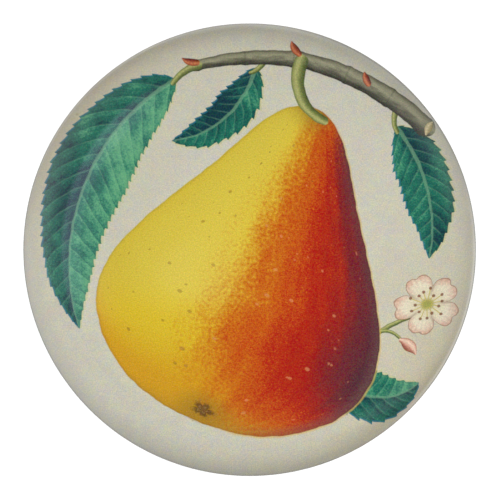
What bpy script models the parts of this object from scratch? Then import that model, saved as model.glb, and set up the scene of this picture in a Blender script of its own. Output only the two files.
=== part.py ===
"""Domed glass paperweight with a printed sheet pasted under the glass.

A solid dome of clear glass stands on a flat ground face. A round printed sheet is pasted to that
face, and a round felt pad covers the sheet and carries the weight. Every piece is turned about
the Z axis. The origin is the middle of the felt's underside, +Z points up, and lengths are metres.
"""

import math

import bmesh
import bpy

MM = 0.001

# Driving dimensions.
OUTER_RADIUS = 44.5 * MM       # widest girth of the glass
FELT_THICKNESS = 1.6 * MM
PAPER_THICKNESS = 0.3 * MM
PASTE_GAP = 0.3 * MM           # the joint between two pieces that are pasted together

# The glass. Above the girth its half section is a quarter of an ellipse, and below the girth an
# arc tucks back in to the ground face.
DOME_RISE = 29.6 * MM                    # from the girth up to the crown
GIRTH_HEIGHT = 5.5 * MM                  # from the ground face up to the girth
TUCK_RADIUS = 9.0 * MM
ARRIS = 0.5 * MM                         # small bevel between the tuck and the ground face

# The print and the felt stop just inside the ground face.
PAPER_INSET = 0.3 * MM
FELT_INSET = 0.6 * MM
FELT_ROUND = 0.4 * MM                    # softened edge of the felt

# How finely the turned pieces are divided.
TURNS = 72
DOME_STEPS = 20
TUCK_STEPS = 3
FELT_STEPS = 3

# Sizes that follow from the ones above.
TUCK_END = math.asin((GIRTH_HEIGHT - ARRIS) / TUCK_RADIUS)
TUCK_END_RADIUS = OUTER_RADIUS - TUCK_RADIUS * (1.0 - math.cos(TUCK_END))
GROUND_FACE_RADIUS = TUCK_END_RADIUS - ARRIS

PAPER_RADIUS = GROUND_FACE_RADIUS - PAPER_INSET
FELT_RADIUS = GROUND_FACE_RADIUS - FELT_INSET

PAPER_BASE = FELT_THICKNESS + PASTE_GAP
GLASS_BASE = PAPER_BASE + PAPER_THICKNESS + PASTE_GAP

SHARP_ANGLE = math.radians(35.0)


def remove_everything():
    """Empty the scene."""
    for item in list(bpy.data.objects):
        bpy.data.objects.remove(item, do_unlink=True)


def arc(centre, across, up, start, end, steps):
    """Points (r, z) on an arc of a circle or an ellipse, without its first point.

    centre is (r, z), and across and up are the two half widths. An angle of 0 is the top of the
    arc and a quarter turn is its outermost point.
    """
    centre_radius, centre_height = centre
    points = []
    for step in range(1, steps + 1):
        angle = start + (end - start) * step / steps
        points.append((centre_radius + across * math.sin(angle), centre_height + up * math.cos(angle)))
    return points


def glass_profile():
    """Half section of the dome, from the top of the crown down its outer side to the axis."""
    quarter = math.pi / 2.0
    girth = GLASS_BASE + GIRTH_HEIGHT
    tuck_centre = (OUTER_RADIUS - TUCK_RADIUS, girth)

    points = [(0.0, girth + DOME_RISE)]
    points += arc((0.0, girth), OUTER_RADIUS, DOME_RISE, 0.0, quarter, DOME_STEPS)
    points += arc(tuck_centre, TUCK_RADIUS, TUCK_RADIUS, quarter, quarter + TUCK_END, TUCK_STEPS)
    points += [(GROUND_FACE_RADIUS, GLASS_BASE), (0.0, GLASS_BASE)]
    return points


def paper_profile():
    """Half section of the printed sheet: a plain cut edge."""
    top = PAPER_BASE + PAPER_THICKNESS
    return [(0.0, top), (PAPER_RADIUS, top), (PAPER_RADIUS, PAPER_BASE), (0.0, PAPER_BASE)]


def felt_profile():
    """Half section of the felt pad, with a softened upper and lower edge."""
    quarter = math.pi / 2.0
    rim = FELT_RADIUS - FELT_ROUND
    upper = FELT_THICKNESS - FELT_ROUND
    points = [(0.0, FELT_THICKNESS), (rim, FELT_THICKNESS)]
    points += arc((rim, upper), FELT_ROUND, FELT_ROUND, 0.0, quarter, FELT_STEPS)
    points.append((FELT_RADIUS, FELT_ROUND))
    points += arc((rim, FELT_ROUND), FELT_ROUND, FELT_ROUND, quarter, math.pi, FELT_STEPS)
    points.append((0.0, 0.0))
    return points


def plain_material(name, colour, roughness, transmission=0.0):
    """A Principled material of one even colour."""
    material = bpy.data.materials.new(name)
    material.use_nodes = True
    shader = material.node_tree.nodes["Principled BSDF"]
    shader.inputs["Base Color"].default_value = (*colour, 1.0)
    shader.inputs["Roughness"].default_value = roughness
    shader.inputs["Metallic"].default_value = 0.0
    shader.inputs["Transmission Weight"].default_value = transmission
    material.diffuse_color = (*colour, 1.0)
    return material


def turned_object(name, profile, material):
    """Spin a half section about the Z axis into one closed solid."""
    shape = bmesh.new()
    vertices = [shape.verts.new((radius, 0.0, height)) for radius, height in profile]
    edges = [shape.edges.new(pair) for pair in zip(vertices, vertices[1:])]
    bmesh.ops.spin(
        shape,
        geom=vertices + edges,
        cent=(0.0, 0.0, 0.0),
        axis=(0.0, 0.0, 1.0),
        angle=2.0 * math.pi,
        steps=TURNS,
        use_merge=True,
    )
    bmesh.ops.remove_doubles(shape, verts=shape.verts[:], dist=0.001 * MM)
    bmesh.ops.recalc_face_normals(shape, faces=shape.faces[:])

    mesh = bpy.data.meshes.new(name)
    shape.to_mesh(mesh)
    shape.free()
    mesh.shade_smooth()
    mesh.set_sharp_from_angle(angle=SHARP_ANGLE)
    mesh.materials.append(material)
    piece = bpy.data.objects.new(name, mesh)
    bpy.context.scene.collection.objects.link(piece)
    return piece


def glass_dome():
    """The solid dome of clear glass."""
    glass = plain_material("clear_glass", (0.97, 0.98, 0.97), 0.02, transmission=1.0)
    return turned_object("glass_dome", glass_profile(), glass)


def printed_sheet():
    """The round printed paper under the glass."""
    paper = plain_material("printed_paper", (0.74, 0.70, 0.60), 0.8)
    return turned_object("printed_sheet", paper_profile(), paper)


def felt_pad():
    """The round pad that the paperweight stands on."""
    felt = plain_material("green_felt", (0.04, 0.11, 0.08), 0.95)
    return turned_object("felt_pad", felt_profile(), felt)


def main():
    """Build the paperweight from the top down."""
    remove_everything()
    glass_dome()
    printed_sheet()
    felt_pad()


main()
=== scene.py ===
"""Looks of a domed glass paperweight with a printed fruit picture pasted under the glass.

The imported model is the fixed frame. Three sub-assemblies are made around it: the clear glass dome,
the round printed sheet and the felt pad. The picture is drawn by shader nodes in millimetres on
the sheet, measured from the dome's axis: X to the right and Y to the top of the picture.
"""

import logging
import math
from collections.abc import Callable
from dataclasses import dataclass
from enum import Enum

import bpy
from mathutils import Color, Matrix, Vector


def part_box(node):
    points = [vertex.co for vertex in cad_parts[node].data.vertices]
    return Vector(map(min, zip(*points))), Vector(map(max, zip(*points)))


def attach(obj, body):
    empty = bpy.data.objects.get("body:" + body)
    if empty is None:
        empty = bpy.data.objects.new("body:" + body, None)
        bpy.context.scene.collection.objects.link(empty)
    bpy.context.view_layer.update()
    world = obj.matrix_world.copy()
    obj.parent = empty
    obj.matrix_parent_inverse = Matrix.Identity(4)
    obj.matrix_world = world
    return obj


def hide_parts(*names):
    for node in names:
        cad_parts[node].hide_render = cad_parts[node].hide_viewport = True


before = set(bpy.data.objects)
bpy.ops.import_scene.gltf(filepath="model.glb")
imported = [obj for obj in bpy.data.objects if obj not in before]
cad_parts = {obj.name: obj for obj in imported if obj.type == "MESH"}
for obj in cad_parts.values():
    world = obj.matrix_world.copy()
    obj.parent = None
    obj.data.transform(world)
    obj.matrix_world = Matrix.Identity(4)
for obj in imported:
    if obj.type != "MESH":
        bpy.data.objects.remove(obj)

MM = 0.001
QUARTER = math.pi / 2.0
BODY = "root"
BAKE_MAP = "OFBake"

log = logging.getLogger("paperweight")

Colour = tuple[float, float, float]
Ramp = tuple[float, float]
Stretch = tuple[float, float, float]
BLACK = (0.0, 0.0, 0.0)
WHITE = (1.0, 1.0, 1.0)


# --------------------------------------------------------------------------------------------
# Inks and fibres
# --------------------------------------------------------------------------------------------


def linear(code: str) -> Colour:
    """Turn a display colour such as "c8a23c" into linear red, green and blue."""
    shown = Color(channel / 255.0 for channel in bytes.fromhex(code))
    return tuple(shown.from_srgb_to_scene_linear())


class Ink(Enum):
    """The papers, inks and fibres, as display colours."""

    STOCK = "cecbba"
    CUT_EDGE = "c9c3b0"
    WARM_FLECK = "e0d394"
    COOL_FLECK = "b4b6d6"
    STAIN = "bfae86"
    YELLOWED = "cbb370"
    FOXING = "9a7a4a"
    SPECK = "4a4032"

    LEAF_DEEP = "023c46"
    LEAF_BRIGHT = "2c8c6e"
    LEAF_GLEAM = "74b684"
    LEAF_VEIN = "7cb08a"
    LEAF_SLIPPED = "2b83a6"
    LEAF_FRINGE = "c9c98a"

    PEAR_YELLOW = "d9ba2c"
    PEAR_SUNLIT = "dec848"
    PEAR_GOLD = "cf9214"
    PEAR_OCHRE = "a67c26"
    PEAR_GREEN = "c2b552"
    PEAR_ORANGE = "c96608"
    PEAR_RED = "b81e00"
    PEAR_DEEP_RED = "a01604"
    PEAR_PLUM = "4a2c38"
    PEAR_RIM = "74504e"
    PEAR_SHINE = "e9da84"
    PEAR_SLIPPED = "d8b658"
    BASIN = "8a6a22"
    SEPAL = "5c3c1c"
    SEPAL_RIDGE = "a8824a"
    COLLAR = "8a5a22"
    CORK = "8b5a1e"
    CORK_ON_RED = "e0a06a"

    PETAL = "ece3cc"
    PETAL_HEART = "d9cfae"
    PETAL_PINK = "cf7f63"
    PETAL_FOLD = "8d6a52"
    PETAL_LINE = "85513c"
    CUP = "9a9a3e"
    THREAD = "c9b866"
    THREAD_TIP = "7c451f"

    FELT_DARK = "12281f"
    FELT_LIGHT = "2c5240"
    LINT = "8f9a86"

    @property
    def colour(self) -> Colour:
        """The ink in linear red, green and blue."""
        return linear(self.value)


class StemInks(Enum):
    """The dark, the middle and the bright ink of a stem or a bud."""

    TWIG = ("37382f", "6f6d58", "a3a184")
    CUT_WOOD = ("9c8a5c", "c2b284", "dccfa6")
    GREEN = ("4d5a2c", "7d8748", "b9b877")
    PINK_BUD = ("8f4a38", "d79a84", "f0dcc6")
    BUD_SCALES = ("5a1d14", "a4452c", "d6875a")

    @property
    def sockets(self) -> dict[str, Colour]:
        """The three inks, by the names of the sockets that take them."""
        return dict(zip(("Dark", "Body", "Bright"), map(linear, self.value)))


# --------------------------------------------------------------------------------------------
# Shader arithmetic
# --------------------------------------------------------------------------------------------


def feed(value: object, socket: bpy.types.NodeSocket) -> None:
    """Link a node's output to a socket, or set a plain number, a colour or an ink on it.

    Args:
        value: What the socket takes.
        socket: The socket to fill.
    """
    if isinstance(value, Output):
        value.tree.links.new(value.socket, socket)
        return
    if isinstance(value, Ink):
        value = value.colour
    socket.default_value = (*value, 1.0) if socket.type == "RGBA" else value


def feed_all(node: bpy.types.Node, **values: object) -> None:
    """Fill a node's inputs by name, with underscores for the spaces in their names."""
    for name, value in values.items():
        feed(value, node.inputs[name.replace("_", " ")])


@dataclass(frozen=True)
class Output:
    """What a node gives."""

    socket: bpy.types.NodeSocket

    @property
    def tree(self) -> bpy.types.NodeTree:
        """The tree that the node is in."""
        return self.socket.id_data


class Field(Output):
    """One number that varies over a surface.

    Arithmetic between fields and plain numbers adds the Math nodes that work it out.
    """

    def math(self, operation: str, *others: "Number", clamp: bool = False) -> "Field":
        """Add one Math node.

        Args:
            operation: The node's operation.
            others: The second and third operands, where it takes them.
            clamp: Whether the result is kept between 0 and 1.

        Returns:
            The node's result.
        """
        node = self.tree.nodes.new("ShaderNodeMath")
        node.operation = operation
        node.use_clamp = clamp
        for value, socket in zip((self, *others), node.inputs):
            feed(value, socket)
        return Field(node.outputs[0])

    def __add__(self, other: "Number") -> "Field":
        """Sum."""
        return self.math("ADD", other)

    __radd__ = __add__

    def __sub__(self, other: "Number") -> "Field":
        """Difference."""
        return self.math("SUBTRACT", other)

    def __rsub__(self, other: float) -> "Field":
        """Difference from a plain number."""
        return self.math("MULTIPLY", -1.0) + other

    def __mul__(self, other: "Number") -> "Field":
        """Product."""
        return self.math("MULTIPLY", other)

    __rmul__ = __mul__

    def __truediv__(self, other: "Number") -> "Field":
        """Quotient."""
        return self.math("DIVIDE", other)

    def __pow__(self, power: "Number") -> "Field":
        """Power."""
        return self.math("POWER", power)

    def root(self) -> "Field":
        """Square root, with negative numbers taken as nought."""
        return self.at_least(0.0).math("SQRT")

    def diagonal(self, other: "Field") -> "Field":
        """Distance that spans this one and another at right angles to it."""
        return (self * self + other * other).root()

    def at_least(self, other: "Number") -> "Field":
        """The larger of two."""
        return self.math("MAXIMUM", other)

    def at_most(self, other: "Number") -> "Field":
        """The smaller of two."""
        return self.math("MINIMUM", other)

    def size(self) -> "Field":
        """Distance from nought."""
        return self.math("ABSOLUTE")

    def sine(self) -> "Field":
        """Sine."""
        return self.math("SINE")

    def cosine(self) -> "Field":
        """Cosine."""
        return self.math("COSINE")

    def fraction(self) -> "Field":
        """What is left above the whole number below."""
        return self.math("FRACT")

    def held(self) -> "Field":
        """Kept between 0 and 1."""
        return self.math("ADD", 0.0, clamp=True)

    def step(self, low: "Number", high: "Number") -> "Field":
        """Rise smoothly from 0 to 1, or fall.

        Args:
            low: Where it is 0.
            high: Where it is 1. It may be less than the other.

        Returns:
            The share of the rise.
        """
        node = self.tree.nodes.new("ShaderNodeMapRange")
        node.interpolation_type = "SMOOTHSTEP"
        feed_all(node, Value=self, From_Min=low, From_Max=high)
        return Field(node.outputs["Result"])

    def inside(self, softness: float = 0.09) -> "Field":
        """1 where a distance outside an outline is negative, with a soft printed edge."""
        return self.step(softness, -softness)

    def bell(self, centre: float, width: float) -> "Field":
        """A soft bump that is 1 at the centre and fades out over the width."""
        offset = (self - centre) / width
        return (offset * offset * -1.0).math("EXPONENT")


Number = Field | float


class Tint(Output):
    """One colour that varies over a surface."""

    @classmethod
    def plain(cls, tree: bpy.types.NodeTree, colour: Ink | Colour) -> "Tint":
        """Start from one even colour.

        Args:
            tree: The tree to start in.
            colour: The colour.

        Returns:
            The tint.
        """
        node = tree.nodes.new("ShaderNodeRGB")
        feed(colour, node.outputs[0])
        return cls(node.outputs[0])

    def under(self, other: "Tint | Ink | Colour", share: Number, blend: str = "MIX") -> "Tint":
        """Lay another colour over this one.

        Args:
            other: The colour laid over.
            share: How much of it shows, from 0 to 1.
            blend: The Mix node's blend type. All but a plain mix are kept between 0 and 1.

        Returns:
            The colour that results.
        """
        return self._mixed(self, other, share, blend_type=blend, clamp_result=blend != "MIX")

    def scaled(self, amount: Number) -> "Tint":
        """Make lighter or darker by a factor."""
        return self._mixed(BLACK, self, amount, clamp_factor=False)

    def _mixed(
        self, low: "Tint | Colour", high: "Tint | Ink | Colour", factor: Number, **settings: object
    ) -> "Tint":
        """Add one Mix node.

        Args:
            low: The colour that shows where the factor is 0.
            high: The colour that shows where it is 1.
            factor: The share of the second colour.
            settings: The node's other settings.

        Returns:
            The node's result.
        """
        node = self.tree.nodes.new("ShaderNodeMix")
        node.data_type = "RGBA"
        for name, value in settings.items():
            setattr(node, name, value)
        sockets = [socket for socket in node.inputs if socket.type == "RGBA"]
        for value, socket in zip((factor, low, high), (node.inputs["Factor"], *sockets)):
            feed(value, socket)
        return Tint(next(socket for socket in node.outputs if socket.type == "RGBA"))

    def channels(self) -> list[Field]:
        """Its red, green and blue.

        Returns:
            The three numbers.
        """
        node = self.tree.nodes.new("ShaderNodeSeparateColor")
        feed(self, node.inputs[0])
        return [Field(socket) for socket in node.outputs]


def read_axes(tree: bpy.types.NodeTree, kind: str) -> list[Field]:
    """Read one of a tree's own texture coordinates.

    Args:
        tree: The tree of a material or a world.
        kind: The coordinate's name.

    Returns:
        Its three axes.
    """
    coordinates = tree.nodes.new("ShaderNodeTexCoord")
    split = tree.nodes.new("ShaderNodeSeparateXYZ")
    feed(Output(coordinates.outputs[kind]), split.inputs[0])
    return [Field(socket) for socket in split.outputs]


@dataclass(frozen=True)
class Place:
    """A point on a surface, as three fields in millimetres.

    Attributes:
        x: How far it is to the right of the dome's axis.
        y: How far it is towards the top of the picture.
        z: Its height.
    """

    x: Field
    y: Field
    z: Field

    @classmethod
    def on(cls, tree: bpy.types.NodeTree) -> "Place":
        """Read the surface's own coordinates in a material."""
        return cls(*(axis * (1.0 / MM) for axis in read_axes(tree, "Object")))

    @property
    def tree(self) -> bpy.types.NodeTree:
        """The tree that it is read in."""
        return self.x.tree

    def reach(self) -> Field:
        """Distance from the dome's axis."""
        return self.x.diagonal(self.y)

    def turned(self, angle: float) -> "Place":
        """Measure on axes that are turned about Z.

        Args:
            angle: How far they are turned anticlockwise, in radians.

        Returns:
            The same point.
        """
        sine, cosine = math.sin(angle), math.cos(angle)
        along = self.x * cosine + self.y * sine
        across = self.y * cosine - self.x * sine
        return Place(along, across, self.z)

    def vector(self, scale: Stretch = (1.0, 1.0, 1.0)) -> Output:
        """Join the three fields.

        Args:
            scale: What each of them is stretched by.

        Returns:
            The vector.
        """
        stretched = [axis * factor for axis, factor in zip((self.x, self.y, self.z), scale)]
        node = self.tree.nodes.new("ShaderNodeCombineXYZ")
        for axis, socket in zip(stretched, node.inputs):
            feed(axis, socket)
        return Output(node.outputs[0])

    def clouds(
        self, grain: float, detail: float = 2.0, stretch: Stretch = (1.0, 1.0, 1.0)
    ) -> tuple[Field, Tint]:
        """Cloudy noise.

        Args:
            grain: Size of its blotches in millimetres.
            detail: How many finer layers it has.
            stretch: Scale along each axis.

        Returns:
            Its number from 0 to 1, and a colour whose three channels vary on their own.
        """
        where = self.vector(stretch)
        node = self.tree.nodes.new("ShaderNodeTexNoise")
        feed_all(node, Scale=1.0 / grain, Detail=detail, Vector=where)
        return Field(node.outputs[0]), Tint(node.outputs[1])

    def noise(self, *settings: object) -> Field:
        """The number of the cloudy noise with these settings."""
        return self.clouds(*settings)[0]

    def tints(self, *settings: object) -> Tint:
        """The colour of the cloudy noise with these settings."""
        return self.clouds(*settings)[1]

    def spots(self, spacing: float) -> tuple[Field, Field]:
        """Scattered points.

        Args:
            spacing: Usual distance between them in millimetres.

        Returns:
            The distance to the nearest one in millimetres, and a number from 0 to 1 that is its own.
        """
        where = self.vector()
        node = self.tree.nodes.new("ShaderNodeTexVoronoi")
        feed_all(node, Scale=1.0 / spacing, Vector=where)
        own = Tint(node.outputs["Color"]).channels()[0]
        return Field(node.outputs["Distance"]) * spacing, own


Sockets = dict[str, Field | Tint]


@dataclass
class Effect:
    """A drawing step that is used more than once, kept as a node group with named sockets.

    Attributes:
        name: The group's name.
        takes: Its inputs and their usual values, a number or a colour.
        gives: Its outputs, each with a number or a colour that shows its kind.
        draw: The function that fills it in, from its inputs to its outputs.
    """

    name: str
    takes: dict[str, float | Colour]
    gives: dict[str, float | Colour]
    draw: Callable[[Sockets], Sockets]

    def __post_init__(self) -> None:
        """Build the group."""
        self.group = bpy.data.node_groups.new(self.name, "ShaderNodeTree")
        for side, sockets in (("INPUT", self.takes), ("OUTPUT", self.gives)):
            for name, value in sockets.items():
                kind = "NodeSocketColor" if isinstance(value, tuple) else "NodeSocketFloat"
                socket = self.group.interface.new_socket(name=name, in_out=side, socket_type=kind)
                socket.default_value = (*value, 1.0) if isinstance(value, tuple) else value
        start = self.group.nodes.new("NodeGroupInput")
        end = self.group.nodes.new("NodeGroupOutput")
        for name, value in self.draw(self._read(start, self.takes)).items():
            feed(value, end.inputs[name])

    @staticmethod
    def _read(node: bpy.types.Node, sockets: dict[str, float | Colour]) -> Sockets:
        """Wrap a node's outputs as fields and tints."""
        kinds = {name: Tint if isinstance(value, tuple) else Field for name, value in sockets.items()}
        return {name: kind(node.outputs[name]) for name, kind in kinds.items()}

    def placed(self, tree: bpy.types.NodeTree, **values: object) -> Sockets:
        """Use the group once.

        Args:
            tree: The tree to place it in.
            values: What its inputs take, with underscores for the spaces in their names.

        Returns:
            Its outputs.
        """
        node = tree.nodes.new("ShaderNodeGroup")
        node.node_tree = self.group
        feed_all(node, **values)
        return self._read(node, self.gives)


class Surface:
    """A material with one Principled shader.

    Attributes:
        material: The material.
        tree: Its node tree.
        shader: Its shader node.
    """

    def __init__(self, name: str, **values: object) -> None:
        """Start a material.

        Args:
            name: The material's name.
            values: What the shader's inputs take, with underscores for the spaces in their names.
        """
        self.material = bpy.data.materials.new(name)
        self.material.use_nodes = True
        self.tree = self.material.node_tree
        self.shader = self.tree.nodes["Principled BSDF"]
        feed_all(self.shader, **values)

    def roughen(self, height: Field, strength: float, depth: float) -> None:
        """Bump the surface.

        Args:
            height: Its height, from 0 to 1.
            strength: How strongly it bends the light.
            depth: How deep it is, in metres.
        """
        bump = self.tree.nodes.new("ShaderNodeBump")
        feed_all(bump, Strength=strength, Distance=depth, Height=height)
        feed_all(self.shader, Normal=Output(bump.outputs[0]))


# --------------------------------------------------------------------------------------------
# Lines, leaves and stems of the picture
# --------------------------------------------------------------------------------------------

Spot = tuple[float, float]


@dataclass(frozen=True)
class Arc:
    """A circular arc on the sheet, which leaves, stalks and twigs are drawn along.

    Attributes:
        start: Where it begins, in millimetres.
        end: Where it ends.
        bulge: How far its middle stands off the straight line, to the left going from the start.
    """

    start: Spot
    end: Spot
    bulge: float

    @property
    def half_chord(self) -> float:
        """Half of the straight line from its start to its end."""
        return math.dist(self.start, self.end) / 2.0

    @property
    def radius(self) -> float:
        """Radius of the circle that the arc lies on."""
        return (self.half_chord ** 2 + self.bulge ** 2) / (2.0 * abs(self.bulge))

    @property
    def centre(self) -> Spot:
        """Centre of the circle that the arc lies on.

        Returns:
            The spot.
        """
        along = Vector(self.end) - Vector(self.start)
        left = Vector((-along.y, along.x)).normalized()
        middle = (Vector(self.start) + Vector(self.end)) / 2.0
        return tuple(middle + left * (self.bulge - math.copysign(self.radius, self.bulge)))

    @property
    def sweep(self) -> float:
        """Angle that it turns through about its centre, positive anticlockwise."""
        half = math.asin(min(1.0, self.half_chord / self.radius))
        return -math.copysign(2.0 * half, self.bulge)

    @property
    def direction(self) -> float:
        """Direction from its start to its end, in radians."""
        return math.atan2(self.end[1] - self.start[1], self.end[0] - self.start[0])

    def measured(self, effect: Effect, at: Place) -> dict[str, Number]:
        """Measure a place along and across the arc.

        Args:
            effect: The arc frame effect.
            at: The place.

        Returns:
            Along, from 0 at the start to 1 at the end; Across, in millimetres to the left; and
            the Length of the arc.
        """
        centre_x, centre_y = self.centre
        found = effect.placed(
            at.tree,
            X=at.x - centre_x,
            Y=at.y - centre_y,
            Radius=self.radius,
            Start=math.atan2(self.start[1] - centre_y, self.start[0] - centre_x),
            Sweep=self.sweep,
            Side=math.copysign(1.0, self.bulge),
        )
        return {**found, "Length": abs(self.sweep) * self.radius}


ARC_TAKES = {"X": 0.0, "Y": 0.0, "Radius": 10.0, "Start": 0.0, "Sweep": 1.0, "Side": 1.0}
ARC_GIVES = {"Along": 0.0, "Across": 0.0}


def draw_arc_frame(given: Sockets) -> Sockets:
    """Turn a place about an arc's centre into how far along and across the arc it is.

    Args:
        given: What the arc frame effect takes.

    Returns:
        What it gives.
    """
    across, up = given["X"], given["Y"]
    angle = up.math("ARCTAN2", across) - given["Start"]
    turned = angle.math("WRAP", math.pi, -math.pi)
    distance = across.diagonal(up)
    return {
        "Along": turned / given["Sweep"],
        "Across": (distance - given["Radius"]) * given["Side"],
    }


LEAF_SIZES = {"Along": 0.0, "Across": 0.0, "Length": 30.0, "Half Width": 6.0, "Vein Space": 2.9}
LEAF_LIGHT = {"Phase": 0.0, "Light": 0.3, "Turn": 0.3, "Wash": 0.5, "Grain": 0.5}
LEAF_INKS = {
    "Deep": Ink.LEAF_DEEP.colour,
    "Bright": Ink.LEAF_BRIGHT.colour,
    "Gleam": Ink.LEAF_GLEAM.colour,
    "Vein": Ink.LEAF_VEIN.colour,
    "Slip": Ink.LEAF_SLIPPED.colour,
}
LEAF_TAKES = {**LEAF_SIZES, **LEAF_LIGHT, **LEAF_INKS}
LEAF_GIVES = {"Colour": BLACK, "Mask": 0.0, "Fringe": 0.0}


def draw_leaf(given: Sockets) -> Sockets:
    """Draw a toothed leaf about its midrib.

    Args:
        given: What the leaf effect takes.

    Returns:
        Its colour, its mask, and the mask of the yellow ink that shows past its outline.
    """
    along, across, length, phase = (given[name] for name in ("Along", "Across", "Length", "Phase"))
    off = across.size()

    # Outline: broadest a little before the middle, drawn out to a point, with forward teeth.
    foot_fullness, point_fullness, fullness = 0.66, 0.92, 2.92
    tooth_space, tooth_depth, tooth_hook = 1.55, 0.5, 1.6
    wave_turns, wave_depth = 15.0, 0.035
    swell = (along ** foot_fullness) * ((1.0 - along) ** point_fullness) * fullness
    tooth = (along * length / tooth_space + phase).fraction() ** tooth_hook - 0.5
    wave = (along * wave_turns + phase * 7.0).sine() * wave_depth
    half = given["Half Width"] * swell * (1.0 + wave) + tooth * tooth_depth * swell.root()
    edge = off - half
    within = along.step(-0.002, 0.004) * along.step(1.002, 0.996)
    mask = edge.inside() * within

    # Side veins run forward from the midrib and bend towards the point.
    vein_slant, vein_bend, vein_width = 0.82, 0.035, 0.3
    left = across.step(-0.2, 0.2)
    ahead = along * length - off * vein_slant - off * off * vein_bend
    panel = (ahead / given["Vein Space"] + left * 0.5 + phase).fraction()
    near = panel.at_most(1.0 - panel) * given["Vein Space"]
    vein = near.step(vein_width, 0.0) * (off / half).step(1.05, 0.2)
    fine = ((ahead + across * 0.3) * 5.2).sine() * 0.5 + 0.5

    rib_tip, rib_taper, groove_width = 0.08, 0.24, 1.7
    rib_half = (1.0 - along) * rib_taper + rib_tip
    rib = off.step(rib_half + 0.14, rib_half - 0.1)
    groove = (across * -1.0).step(groove_width, 0.1) * (1.0 - left)

    # Tone: one half of the blade catches the light, and each panel between veins swells.
    tone = (
        given["Light"]
        + left * given["Turn"]
        + (panel - 0.5) * -0.36
        + (fine - 0.5) * 0.1
        + (given["Grain"] - 0.5) * 0.9
        + (given["Wash"] - 0.5) * 1.8
        + (off / half).step(0.2, 0.95) * 0.12
        - groove * 0.25
    )
    blade = given["Deep"].under(given["Bright"], tone.held())
    blade = blade.under(given["Gleam"], tone.step(0.55, 1.35) * 0.75)
    blade = blade.under(given["Vein"], vein * 0.24)
    blade = blade.under(given["Vein"], rib * 0.5)
    blade = blade.scaled(1.0 - edge.step(-0.65, -0.1) * 0.2)
    blade = blade.under(given["Slip"], edge.step(-0.42, -0.12) * across.step(0.5, -0.5) * 0.6)
    slip = 0.34
    fringe = (edge - across.step(-0.5, 0.5) * slip).step(0.12, -0.06) * within
    return {"Colour": blade, "Mask": mask, "Fringe": fringe}


class Tone(Enum):
    """How a leaf is lit: its base lightness and how much lighter its left half is."""

    DEEP = (0.10, 0.30)
    TURNED = (0.62, -0.36)
    LIT = (0.34, 0.42)


@dataclass(frozen=True)
class Leaf:
    """One leaf of the picture.

    Attributes:
        midrib: The arc from the leaf's foot to its point.
        half_width: Widest distance from midrib to margin, in millimetres.
        tone: How it is lit.
        phase: Shifts its teeth and veins.
        vein_space: Distance between side veins.
    """

    midrib: Arc
    half_width: float
    tone: Tone
    phase: float
    vein_space: float


STEM_SIZES = {"Along": 0.0, "Across": 0.0, "Length": 10.0, "Start": 1.0, "End": 1.0, "Belly": 0.0}
STEM_SKIN = {"Bark": 1.0, "Streak": 0.5, "Grain": 0.5}
STEM_TAKES = {**STEM_SIZES, **STEM_SKIN, **StemInks.TWIG.sockets}
STEM_GIVES = {"Colour": BLACK, "Mask": 0.0}


def draw_stem(given: Sockets) -> Sockets:
    """Draw a round stem, a twig or a bud along an arc, with rounded ends and streaked bark.

    Args:
        given: What the stem effect takes.

    Returns:
        Its colour and its mask.
    """
    along, across, length = given["Along"], given["Across"], given["Length"]
    joint_space, joint_swell, ring_width, swell_width = 7.6, 0.09, 0.035, 0.11
    reach = along * length
    joint = (reach / joint_space + (reach * 0.7).sine() * 0.17 + 0.37).fraction()
    ring = joint.bell(0.5, ring_width) * given["Bark"]
    half = given["Start"] + (given["End"] - given["Start"]) * along.held()
    half = half + (along.held() * math.pi).sine() * given["Belly"]
    half = half * (1.0 + joint.bell(0.5, swell_width) * given["Bark"] * joint_swell)
    beyond = (along * -1.0).at_least(along - 1.0).at_least(0.0) * length
    mask = (across.diagonal(beyond) - half).inside()

    # The light falls on one side of the round, and both edges turn away from it.
    rough = (given["Streak"] - 0.5) * given["Bark"]
    side = across / half + rough * 0.7
    lit = given["Body"].under(given["Dark"], side.step(0.1, -1.0))
    lit = lit.under(given["Bright"], side.bell(0.35, 0.42) * 0.75)
    lit = lit.under(given["Dark"], side.step(0.65, 1.1) * 0.6)
    lit = lit.under(given["Dark"], ring * 0.32)
    shade = 0.84 + given["Grain"] * 0.32 + rough * 0.9
    return {"Colour": lit.scaled(shade), "Mask": mask}


@dataclass(frozen=True)
class Stem:
    """One stem, twig or bud of the picture.

    Attributes:
        line: The arc along its middle.
        start: Half width at the start, in millimetres.
        end: Half width at the end.
        inks: Its three inks.
        belly: How much fatter it is in the middle.
        bark: How rough its skin is. At 1 the skin is streaked along the stem.
    """

    line: Arc
    start: float
    end: float
    inks: StemInks
    belly: float = 0.0
    bark: float = 0.3


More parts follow.
